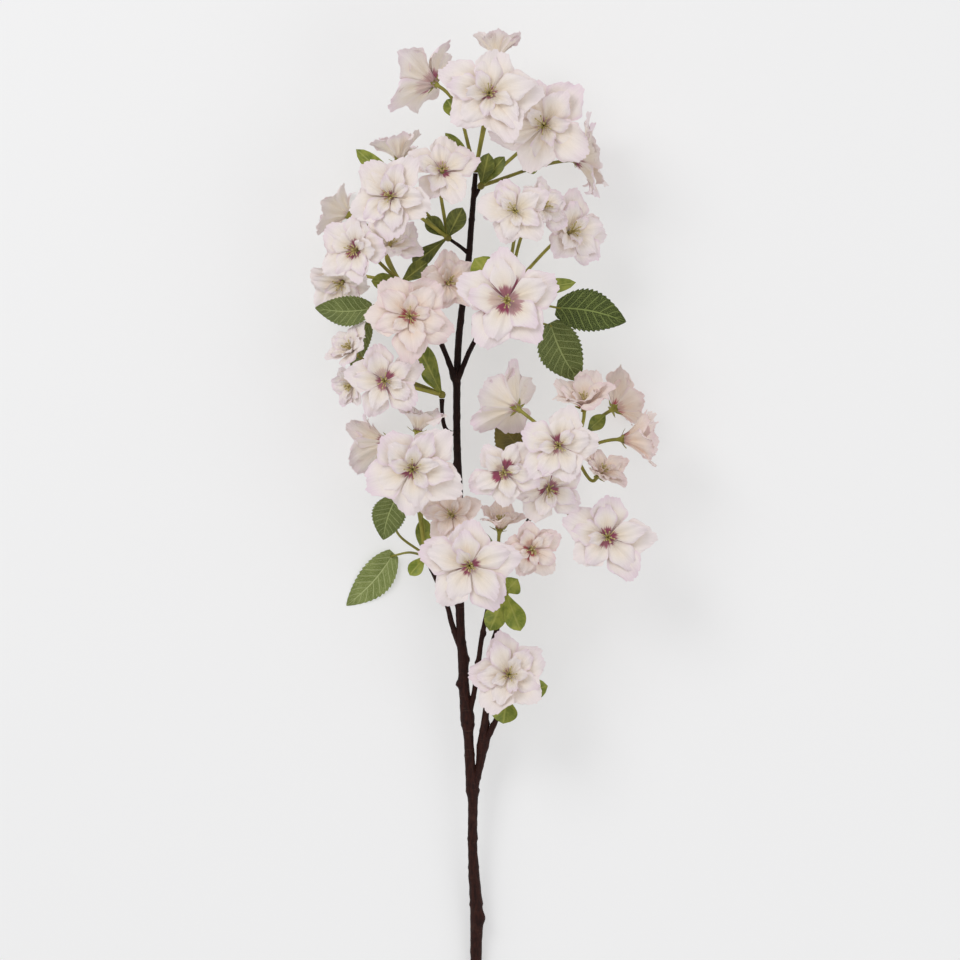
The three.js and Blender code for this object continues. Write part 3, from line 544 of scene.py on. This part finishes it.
def leaf(index):
    """A large toothed leaf with its stalk."""
    on, bend, foot, tip, width, shade, under = LEAVES[index]
    hub = seat_of(on)[0]
    bend, foot, tip = (np.array(p, float) for p in (bend, foot, tip))
    stalk_end = hub + unit(bend - hub) * (HUB_RADIUS + JOINT_GAP)
    rib = tip - foot
    length = np.linalg.norm(rib)
    side = unit(np.cross((0, 0, 1), rib))
    s = np.linspace(0, 1, LEAF_TEETH * 6 + 1)[:, None]
    v = np.linspace(-1, 1, 25)[None, :]
    s, v = np.broadcast_arrays(s, v)
    saw = (s * LEAF_TEETH) % 1.0
    long_side = np.clip(saw / 0.8, 0, 1) * (saw < TOOTH_RISE)
    tooth = long_side + (1 - np.clip((saw - TOOTH_RISE) / 0.15, 0, 1)) * (saw >= TOOTH_RISE)
    tooth = tooth * np.sin(np.pi * np.clip(s, 0.02, 0.98)) ** 0.5
    reach = width / 2 * leaf_width(s) * v * (0.96 + 0.1 * tooth * np.abs(v) ** 8)
    rise = LEAF_FOLD * np.abs(reach) + LEAF_WAVE * np.sin(9 * s) * np.abs(v)
    veins = 0.16 * np.abs(np.sin(np.pi * (8 * s - 1.6 * np.abs(v)))) * (1 - np.abs(v) ** 4)
    rise = rise + veins * np.sin(np.pi * s) - 0.35 * np.exp(-((v / 0.06) ** 2)) * (1 - s)
    lean = 0.25 * under
    points = foot + rib * s[..., None] + side * reach[..., None]
    points = points + side * (0.05 * length * np.sin(np.pi * s))[..., None] * (-1) ** index
    height = points[..., 2] + rise - LEAF_SAG * length * s * s - lean * reach
    points = np.dstack([points[..., 0], points[..., 1], np.maximum(height, BLADE / 2 + 0.25 * veins)])
    surface = Surface()
    surface.grid(points, np.stack([v * 0.5 + 0.5, s], axis=-1), (shade, 0.5, under))
    neck = foot + rib * 0.06
    neck[2] = max(neck[2], LEAFSTALK_RADIUS)
    line = resample([(*stalk_end, 0.8), (*bend, 0.75), (*neck, 0.65)], 1.2)
    green = Surface()
    green.grid(tube(line[:, :3], line[:, 3], 8), tube_uv(line[:, :3], 8), (0.4, 0.5, 0), True, True)
    return surface, green


def bark_noise(points, phase):
    """A rough skin: a few sines that run mostly along the limb."""
    x, y, z = points[..., 0], points[..., 1], points[..., 2]
    rough = 0.5 * np.sin(1.9 * x + 0.35 * y + phase) * np.sin(2.3 * z - 0.2 * y)
    rough = rough + 0.35 * np.sin(0.9 * y + 1.3 * x + 2 * phase) + 0.3 * np.sin(3.1 * z + 3.7 * x + 0.5 * y)
    return rough


BARK_ROUGHNESS = 0.16  # for a limb of the radius below
RING_HEIGHT = 0.42
RING_WIDTH = 0.9
RING_STEP = 23  # between the rings where a year's growth ended
USUAL_RADIUS = 3
SPRIG_LENGTH = 600


def limb(surface, stations, sides, phase):
    """A limb of the branch with rough bark, rings and knobs, and a cut face at its first end."""
    smooth = resample(stations, 1.5)
    line, radii = smooth[:, :3], smooth[:, 3]
    rings = tube(line, radii, sides)
    out = unit(rings - line[:, None])
    stoutness = (radii / USUAL_RADIUS)[:, None]
    push = BARK_ROUGHNESS * bark_noise(rings, phase) * stoutness
    run = length_along(line)
    for centre in range(9, int(run[-1]), RING_STEP):
        near = run - centre - 4 * math.sin(centre + phase)
        push = push + RING_HEIGHT * np.exp(-((near / RING_WIDTH) ** 2))[:, None] * stoutness
    for x, y, z, height, spread in KNOBS:
        gap = np.linalg.norm(rings - np.array((x, y, z)), axis=-1)
        push = push + height * np.exp(-((gap / spread) ** 2)) * 0.9
    rings = rings + out * push[..., None]
    height = np.clip(line[:, 1] / SPRIG_LENGTH, 0, 1)[:, None] + 0 * push
    tone = np.stack(np.broadcast_arrays(height, 0.5, 0.0), axis=-1)
    surface.grid(rings, tube_uv(line, sides), tone, True, True)
    middle, back = rings[0].mean(axis=0), unit(line[0] - line[1])
    shares, steps = np.array((0.002, 0.3, 0.6, 0.88, 1.0)), (0.1, 0.25, 0.3, 0.3, 0.0)
    cut = np.stack([middle + (rings[0] - middle) * share + back * step for share, step in zip(shares, steps)])
    across = np.broadcast_to(shares[:, None], cut.shape[:2])
    face = np.stack(np.broadcast_arrays(0.0, 0.5, (shares < 0.95)[:, None] + 0.0 * across), axis=-1)
    surface.grid(cut, np.stack([across, across], axis=-1), face, True)


# ---- materials -------------------------------------------------------------------------------------------
class Graph:
    """A material whose nodes are made by short calls. Its shader is one Principled BSDF."""

    def __init__(self, name, **sockets):
        self.material = bpy.data.materials.new(name)
        self.material.use_nodes = True
        self.tree = self.material.node_tree
        self.shader = self.tree.nodes["Principled BSDF"]
        for socket, value in sockets.items():
            self.shader.inputs[socket.replace("_", " ").title().replace("Ior", "IOR")].default_value = value

    def node(self, kind, inputs=(), **settings):
        """A new node of the kind, with the values or sockets given for its inputs."""
        made = self.tree.nodes.new(kind)
        for key, value in settings.items():
            setattr(made, key, value)
        for key, value in dict(inputs).items():
            self.put(made.inputs[key], value)
        return made

    def put(self, socket, value):
        if isinstance(value, bpy.types.NodeSocket):
            self.tree.links.new(value, socket)
        else:
            socket.default_value = value

    def math(self, operation, a, b=0.0, c=0.0):
        return self.node("ShaderNodeMath", {0: a, 1: b, 2: c}, operation=operation).outputs[0]

    def times(self, a, b):
        return self.math("MULTIPLY", a, b)

    def plus(self, a, b):
        return self.math("ADD", a, b)

    def minus(self, a, b):
        return self.math("SUBTRACT", a, b)

    def larger(self, a, b):
        return self.math("MAXIMUM", a, b)

    def absolute(self, a):
        return self.math("ABSOLUTE", a)

    def fade(self, value, start, end, low=0.0, high=1.0):
        """Smoothly from low where value is start to high where it is end."""
        inputs = {"Value": value, "From Min": start, "From Max": end, "To Min": low, "To Max": high}
        return self.node("ShaderNodeMapRange", inputs, interpolation_type="SMOOTHSTEP").outputs[0]

    def spread(self, noise, low=0.0, high=1.0):
        """From low to high over the values that a noise mostly takes."""
        return self.fade(noise, 0.3, 0.7, low, high)

    def mottled(self, noise, a, b):
        """A colour between two that are given as they look on a screen."""
        return self.mix(self.spread(noise), linear(*a), linear(*b))

    def mix(self, factor, a, b, blend="MIX"):
        made = self.node("ShaderNodeMix", data_type="RGBA", blend_type=blend)
        for key, value in ((0, factor), (6, a), (7, b)):
            self.put(made.inputs[key], value)
        return made.outputs[2]

    def uv(self):
        """How far across and along the grid a point lies."""
        split = self.node("ShaderNodeSeparateXYZ", {0: self.node("ShaderNodeUVMap", uv_map="uv").outputs[0]})
        return split.outputs[0], split.outputs[1]

    def tone(self):
        """The three numbers that each grid of points carries for its material."""
        colour = self.node("ShaderNodeAttribute", attribute_name="tone").outputs["Color"]
        return self.node("ShaderNodeSeparateColor", {0: colour}).outputs

    def vector(self, x, y, z=0.0):
        return self.node("ShaderNodeCombineXYZ", {0: x, 1: y, 2: z}).outputs[0]

    def place(self):
        return self.node("ShaderNodeTexCoord").outputs["Object"]

    def noise(self, vector, scale, detail=3.0, roughness=0.55):
        inputs = {"Vector": vector, "Scale": scale, "Detail": detail, "Roughness": roughness}
        return self.node("ShaderNodeTexNoise", inputs).outputs["Fac"]

    def finish(self, colour, height, distance, strength, roughness=None):
        """Joins the colour, a bump of the height in metres, and the roughness to the shader."""
        self.put(self.shader.inputs["Base Color"], colour)
        bump = self.node("ShaderNodeBump", {"Height": height, "Distance": distance, "Strength": strength})
        self.put(self.shader.inputs["Normal"], bump.outputs[0])
        if roughness is not None:
            self.put(self.shader.inputs["Roughness"], roughness)
        return self.material


def linear(red, green, blue):
    """A colour given as it looks on a screen (0 to 255), as the shader's numbers: the usual sRGB curve."""
    return tuple(((c / 255 + 0.055) / 1.055) ** 2.4 if c > 10 else c / 3294.6 for c in (red, green, blue)) + (1.0,)


PETAL_GLOW = 0.06  # painted glow: light the petals give off themselves, standing for light through the thin fabric and lifting their shaded sides
GLOW_COLOUR = (1.0, 0.9, 0.86, 1)


def petal_material(name, white, warm, blush, blotch, throat):
    """Printed fabric: pale, warm in the middle, pink to lavender at the rim, with a streaked blotch at the foot.

    Its tone's three numbers are the blotch's reach along the petal, the petal's own share of the rim's colour, and
    how strong its blotch is.
    """
    g = Graph(name, roughness=0.8, sheen_weight=0.08, sheen_roughness=0.4, specular_ior_level=0.2)
    # painted glow: a little warm light of the petals' own, which lifts their shaded sides
    g.shader.inputs["Emission Color"].default_value = GLOW_COLOUR
    g.shader.inputs["Emission Strength"].default_value = PETAL_GLOW
    across, along = g.uv()
    reach, own, strength = g.tone()[:3]
    streaks = g.noise(g.vector(g.times(across, 13.0), g.times(along, 1.3), own), 1.6, 4.0)
    cloud = g.noise(g.place(), 90.0, 3.0)
    middle = g.absolute(g.minus(across, 0.5))
    warmth = g.times(g.fade(along, 0.02, 0.15), g.fade(along, 0.95, 0.3))
    warmth = g.times(warmth, g.fade(middle, 0.5, 0.1, 0.45, 1.0))
    warmth = g.times(warmth, g.fade(cloud, 0.35, 0.65, 0.6, 1.0))
    colour = g.mix(warmth, white, warm)
    rim = g.times(g.fade(middle, 0.36, 0.5), g.fade(along, 0.2, 0.6))
    rim = g.larger(g.fade(along, 0.66, 1.0), rim)
    rim = g.times(rim, g.fade(own, 0.0, 1.0, 0.15, 0.9))
    rim = g.times(rim, g.spread(streaks, 0.6, 1.0))
    colour = g.mix(rim, colour, blush)
    edge = g.plus(reach, g.times(g.minus(streaks, 0.5), 0.4))
    edge = g.minus(edge, g.times(middle, 0.16))
    spot = g.fade(g.minus(edge, along), -0.05, 0.07)
    spot = g.times(spot, g.fade(strength, 0.1, 0.6, 0.3, 1.0))
    colour = g.mix(spot, colour, blotch)
    deep = g.fade(along, 0.1, 0.0, 0.0, 0.55)
    colour = g.mix(deep, colour, throat)
    fine = g.noise(g.vector(g.times(across, 60.0), g.times(along, 3.0), own), 1.0, 2.0)
    weave = g.noise(g.place(), 2600.0, 1.0)
    height = g.plus(g.times(streaks, 1.0), g.times(fine, 0.5))
    height = g.plus(height, g.times(weave, 0.12))
    shade = g.spread(fine, 0.965, 1.0)
    grey = g.node("ShaderNodeCombineColor", {0: shade, 1: shade, 2: shade}).outputs[0]
    colour = g.mix(1.0, colour, grey, "MULTIPLY")
    return g.finish(colour, height, 0.0008, 0.6)


def leaf_material():
    """Printed green cloth with a pale rib, pale side veins and a fine net between them."""
    g = Graph("leaf_print", roughness=0.55, specular_ior_level=0.25)
    across, along = g.uv()
    shade, own, under = g.tone()[:3]
    middle = g.times(g.absolute(g.minus(across, 0.5)), 2.0)
    wander = g.times(g.minus(g.noise(g.place(), 160.0, 2.0), 0.5), 0.25)
    rank = g.plus(g.minus(g.times(along, 9.0), g.times(middle, 1.7)), wander)
    off = g.absolute(g.minus(g.math("FRACT", rank), 0.5))
    side = g.times(g.fade(off, 0.09, 0.02), g.fade(middle, 1.0, 0.75))
    rib = g.fade(middle, 0.055, 0.02)
    cells = g.node(
        "ShaderNodeTexVoronoi",
        {"Vector": g.vector(g.times(across, 22.0), g.times(along, 40.0), own), "Scale": 1.0},
        feature="DISTANCE_TO_EDGE",
    ).outputs["Distance"]
    net = g.times(g.fade(cells, 0.1, 0.03), 0.6)
    veins = g.larger(g.larger(rib, g.times(side, 0.95)), net)
    mottle = g.noise(g.place(), 140.0, 4.0)
    dark = g.mottled(mottle, (34, 46, 8), (54, 66, 15))
    pale = g.mottled(mottle, (120, 134, 64), (146, 158, 90))
    brown = g.mottled(mottle, (84, 74, 26), (110, 98, 40))
    ground = g.mix(under, g.mix(shade, dark, pale), brown)
    light = g.mix(under, g.mix(shade, linear(146, 162, 84), linear(208, 216, 156)), linear(122, 110, 56))
    colour = g.mix(g.times(veins, 0.8), ground, light)
    height = g.plus(g.times(veins, 1.0), g.times(mottle, 0.4))
    return g.finish(colour, height, 0.0005, 0.6, g.spread(mottle, 0.42, 0.6))


def small_leaf_material():
    """Smooth moulded leaves, olive to bright green, with a faint rib and side veins."""
    g = Graph("leaf_smooth", roughness=0.45, specular_ior_level=0.4)
    across, along = g.uv()
    shade = g.tone()[0]
    middle = g.times(g.absolute(g.minus(across, 0.5)), 2.0)
    mottle = g.noise(g.place(), 190.0, 4.0)
    dark = g.mottled(mottle, (64, 72, 26), (98, 104, 40))
    bright = g.mottled(mottle, (126, 144, 40), (180, 186, 78))
    colour = g.mix(shade, dark, bright)
    rib = g.fade(middle, 0.14, 0.03)
    off = g.minus(g.times(along, 6.0), g.times(middle, 1.5))
    side = g.fade(g.absolute(g.minus(g.math("FRACT", off), 0.5)), 0.12, 0.02)
    veins = g.larger(rib, g.times(side, 0.4))
    colour = g.mix(g.times(veins, 0.45), colour, linear(188, 190, 100))
    height = g.plus(g.times(veins, -0.8), g.times(mottle, 0.5))
    return g.finish(colour, height, 0.0005, 0.5, g.spread(mottle, 0.36, 0.55))


def stalk_material():
    """Olive moulded stalks, a little browner towards the twigs, with faint ridges along them."""
    g = Graph("stalk_green", roughness=0.5, specular_ior_level=0.4)
    across, along = g.uv()
    shade = g.tone()[0]
    mottle = g.noise(g.place(), 120.0, 4.0)
    ridges = g.noise(g.vector(g.times(across, 9.0), g.times(along, 9.0)), 1.0, 2.0)
    low = g.mottled(mottle, (100, 92, 30), (130, 124, 46))
    high = g.mottled(mottle, (146, 146, 54), (184, 178, 82))
    colour = g.mix(g.fade(shade, 0.25, 0.6), low, high)
    height = g.plus(g.times(ridges, 1.0), g.times(mottle, 0.5))
    return g.finish(colour, height, 0.0004, 0.5, g.spread(mottle, 0.42, 0.6))


def stamen_material():
    """Yellow-green threads with pale heads."""
    g = Graph("stamen_thread", roughness=0.55)
    head = g.tone()[0]
    speck = g.noise(g.place(), 1500.0, 2.0)
    thread = g.mottled(speck, (184, 172, 100), (214, 200, 140))
    cap = g.mottled(speck, (158, 138, 70), (232, 218, 166))
    return g.finish(g.mix(head, thread, cap), speck, 0.0002, 0.4)


def bark_material():
    """Dark brown moulded bark, redder towards the cut end, with long fibres and pale scuffs on its rings."""
    g = Graph("bark_brown", roughness=0.6, specular_ior_level=0.16)
    across, along = g.uv()
    tone = g.tone()
    up, cut = tone[0], tone[2]
    fibres = g.noise(g.vector(g.times(across, 10.0), g.times(along, 12.0)), 1.4, 5.0, 0.65)
    rings = g.noise(g.vector(g.times(across, 2.0), g.times(along, 70.0)), 1.0, 3.0)
    patches = g.noise(g.place(), 60.0, 4.0)
    top = g.mottled(fibres, (20, 8, 7), (42, 23, 19))
    low = g.mottled(fibres, (30, 12, 9), (62, 32, 25))
    colour = g.mix(g.fade(up, 0.3, 0.6), low, top)
    colour = g.mix(g.times(g.fade(patches, 0.58, 0.72), 0.5), colour, linear(76, 53, 44))
    colour = g.mix(g.times(g.fade(rings, 0.62, 0.74), 0.35), colour, linear(90, 66, 55))
    grain = g.noise(g.place(), 900.0, 3.0)
    colour = g.mix(cut, colour, g.mottled(grain, (104, 72, 50), (152, 116, 84)))
    height = g.plus(fibres, g.times(rings, 0.6))
    return g.finish(colour, height, 0.0008, 0.7, g.spread(fibres, 0.5, 0.7))


CREAM = petal_material(
    "petal_cream_print",
    white=linear(242, 233, 230),
    warm=linear(241, 227, 205),
    blush=linear(232, 210, 223),
    blotch=linear(150, 12, 78),
    throat=linear(146, 120, 62),
)
PEACH = petal_material(
    "petal_peach_print",
    white=linear(241, 228, 221),
    warm=linear(241, 216, 194),
    blush=linear(230, 202, 206),
    blotch=linear(180, 14, 40),
    throat=linear(160, 120, 60),
)
LEAF = leaf_material()
SMALL = small_leaf_material()
STALK = stalk_material()
STAMEN = stamen_material()
BARK = bark_material()

# ---- the pieces ------------------------------------------------------------------------------------------
STEM_SIDES = 24
TWIG_SIDES = 14
wood = Surface()
limb(wood, STEM, STEM_SIDES, 0.0)
for order, stations in enumerate(TWIGS.values()):
    limb(wood, stations, TWIG_SIDES, 1.0 + order)
wood.build("branch_bark", BARK, "bark", ["branch"])

for name in CLUSTERS:
    green, small = stalks(name)
    if name == "leaflets":
        small.build("leaflets_blades", SMALL, "leaf", ["leaflets"])
        green.build("leaflets_hub", STALK, "stalk", [])
        continue
    green.build("stalks_" + name + "_green", STALK, "stalk", ["stalks_" + name])
    if small.count:
        small.build("stalks_" + name + "_leaves", SMALL, "leaf", [])

for index in range(len(LEAVES)):
    blade, green = leaf(index)
    blade.build(f"leaf_{index + 1}_blade", LEAF, "leaf", [f"leaf_{index + 1}"])
    green.build(f"leaf_{index + 1}_stalk", STALK, "stalk", [])

for number, row in enumerate(BLOOMS, 1):
    label = f"bloom_{number:02d}"
    tint = row[8]
    petals(number, row).build(label + "_petals", CREAM if tint == "cream" else PEACH, "petal_" + tint, [label])
    stamens(number, row).build(label + "_stamens", STAMEN, "stalk", [])

# ---- floor, light and camera -----------------------------------------------------------------------------
FLOOR = 40.0  # half its size in metres
FLOOR_SHADE = linear(196, 196, 196)
FLOOR_GLOW = 0.388  # brings the floor to the photo's even backdrop
WORLD_COLOUR = (0.86, 0.86, 0.87, 1)
WORLD_STRENGTH = 0.69
LIT_PLACE = (0, 0.08, 0.05)  # what both lamps point at
SENSOR = 36  # millimetres, as the lens
LENS = 300
PICTURE_MIDDLE = np.array((6.0, 336.0, 50.0))  # in the source's frame
PICTURE_WIDTH = 576.0

corners = [(-FLOOR, -FLOOR, 0), (FLOOR, -FLOOR, 0), (FLOOR, FLOOR, 0), (-FLOOR, FLOOR, 0)]
floor_mesh = bpy.data.meshes.new("floor")
floor_mesh.from_pydata(corners, [], [(0, 1, 2, 3)])
floor = bpy.data.objects.new("floor", floor_mesh)
bpy.context.scene.collection.objects.link(floor)
ground = Graph("floor_pale", roughness=0.9, specular_ior_level=0.1)
ground.shader.inputs["Base Color"].default_value = FLOOR_SHADE
ground.shader.inputs["Emission Color"].default_value = (1, 1, 1, 1)
ground.shader.inputs["Emission Strength"].default_value = FLOOR_GLOW
floor_mesh.materials.append(ground.material)

scene = bpy.context.scene
scene.view_settings.view_transform = "Standard"
world = bpy.data.worlds.new("studio")
world.use_nodes = True
world.node_tree.nodes["Background"].inputs[0].default_value = WORLD_COLOUR
world.node_tree.nodes["Background"].inputs[1].default_value = WORLD_STRENGTH
scene.world = world


def lamp(name, place, size, power):
    """A square lamp, size in metres and power in watts, that points at the sprig's upper part."""
    light = bpy.data.lights.new(name, "AREA")
    light.size = size
    light.energy = power
    made = bpy.data.objects.new(name, light)
    made.location = place
    made.rotation_mode = "QUATERNION"
    made.rotation_quaternion = Vector(np.array(LIT_PLACE) - np.array(place)).to_track_quat("-Z", "Y")
    bpy.context.scene.collection.objects.link(made)


lamp("key", (-1.1, 1.2, 1.7), 1.0, 14.4)
lamp("fill", (1.4, -0.6, 1.5), 1.4, 6.0)

camera_data = bpy.data.cameras.new("camera")
camera_data.sensor_width = SENSOR
camera_data.lens = LENS
camera_data.clip_end = 100
camera = bpy.data.objects.new("camera", camera_data)
distance = PICTURE_WIDTH * LENS / SENSOR
camera.location = (PICTURE_MIDDLE + SHIFT + np.array((0, 0, distance))) * METRE
bpy.context.scene.collection.objects.link(camera)
scene.camera = camera
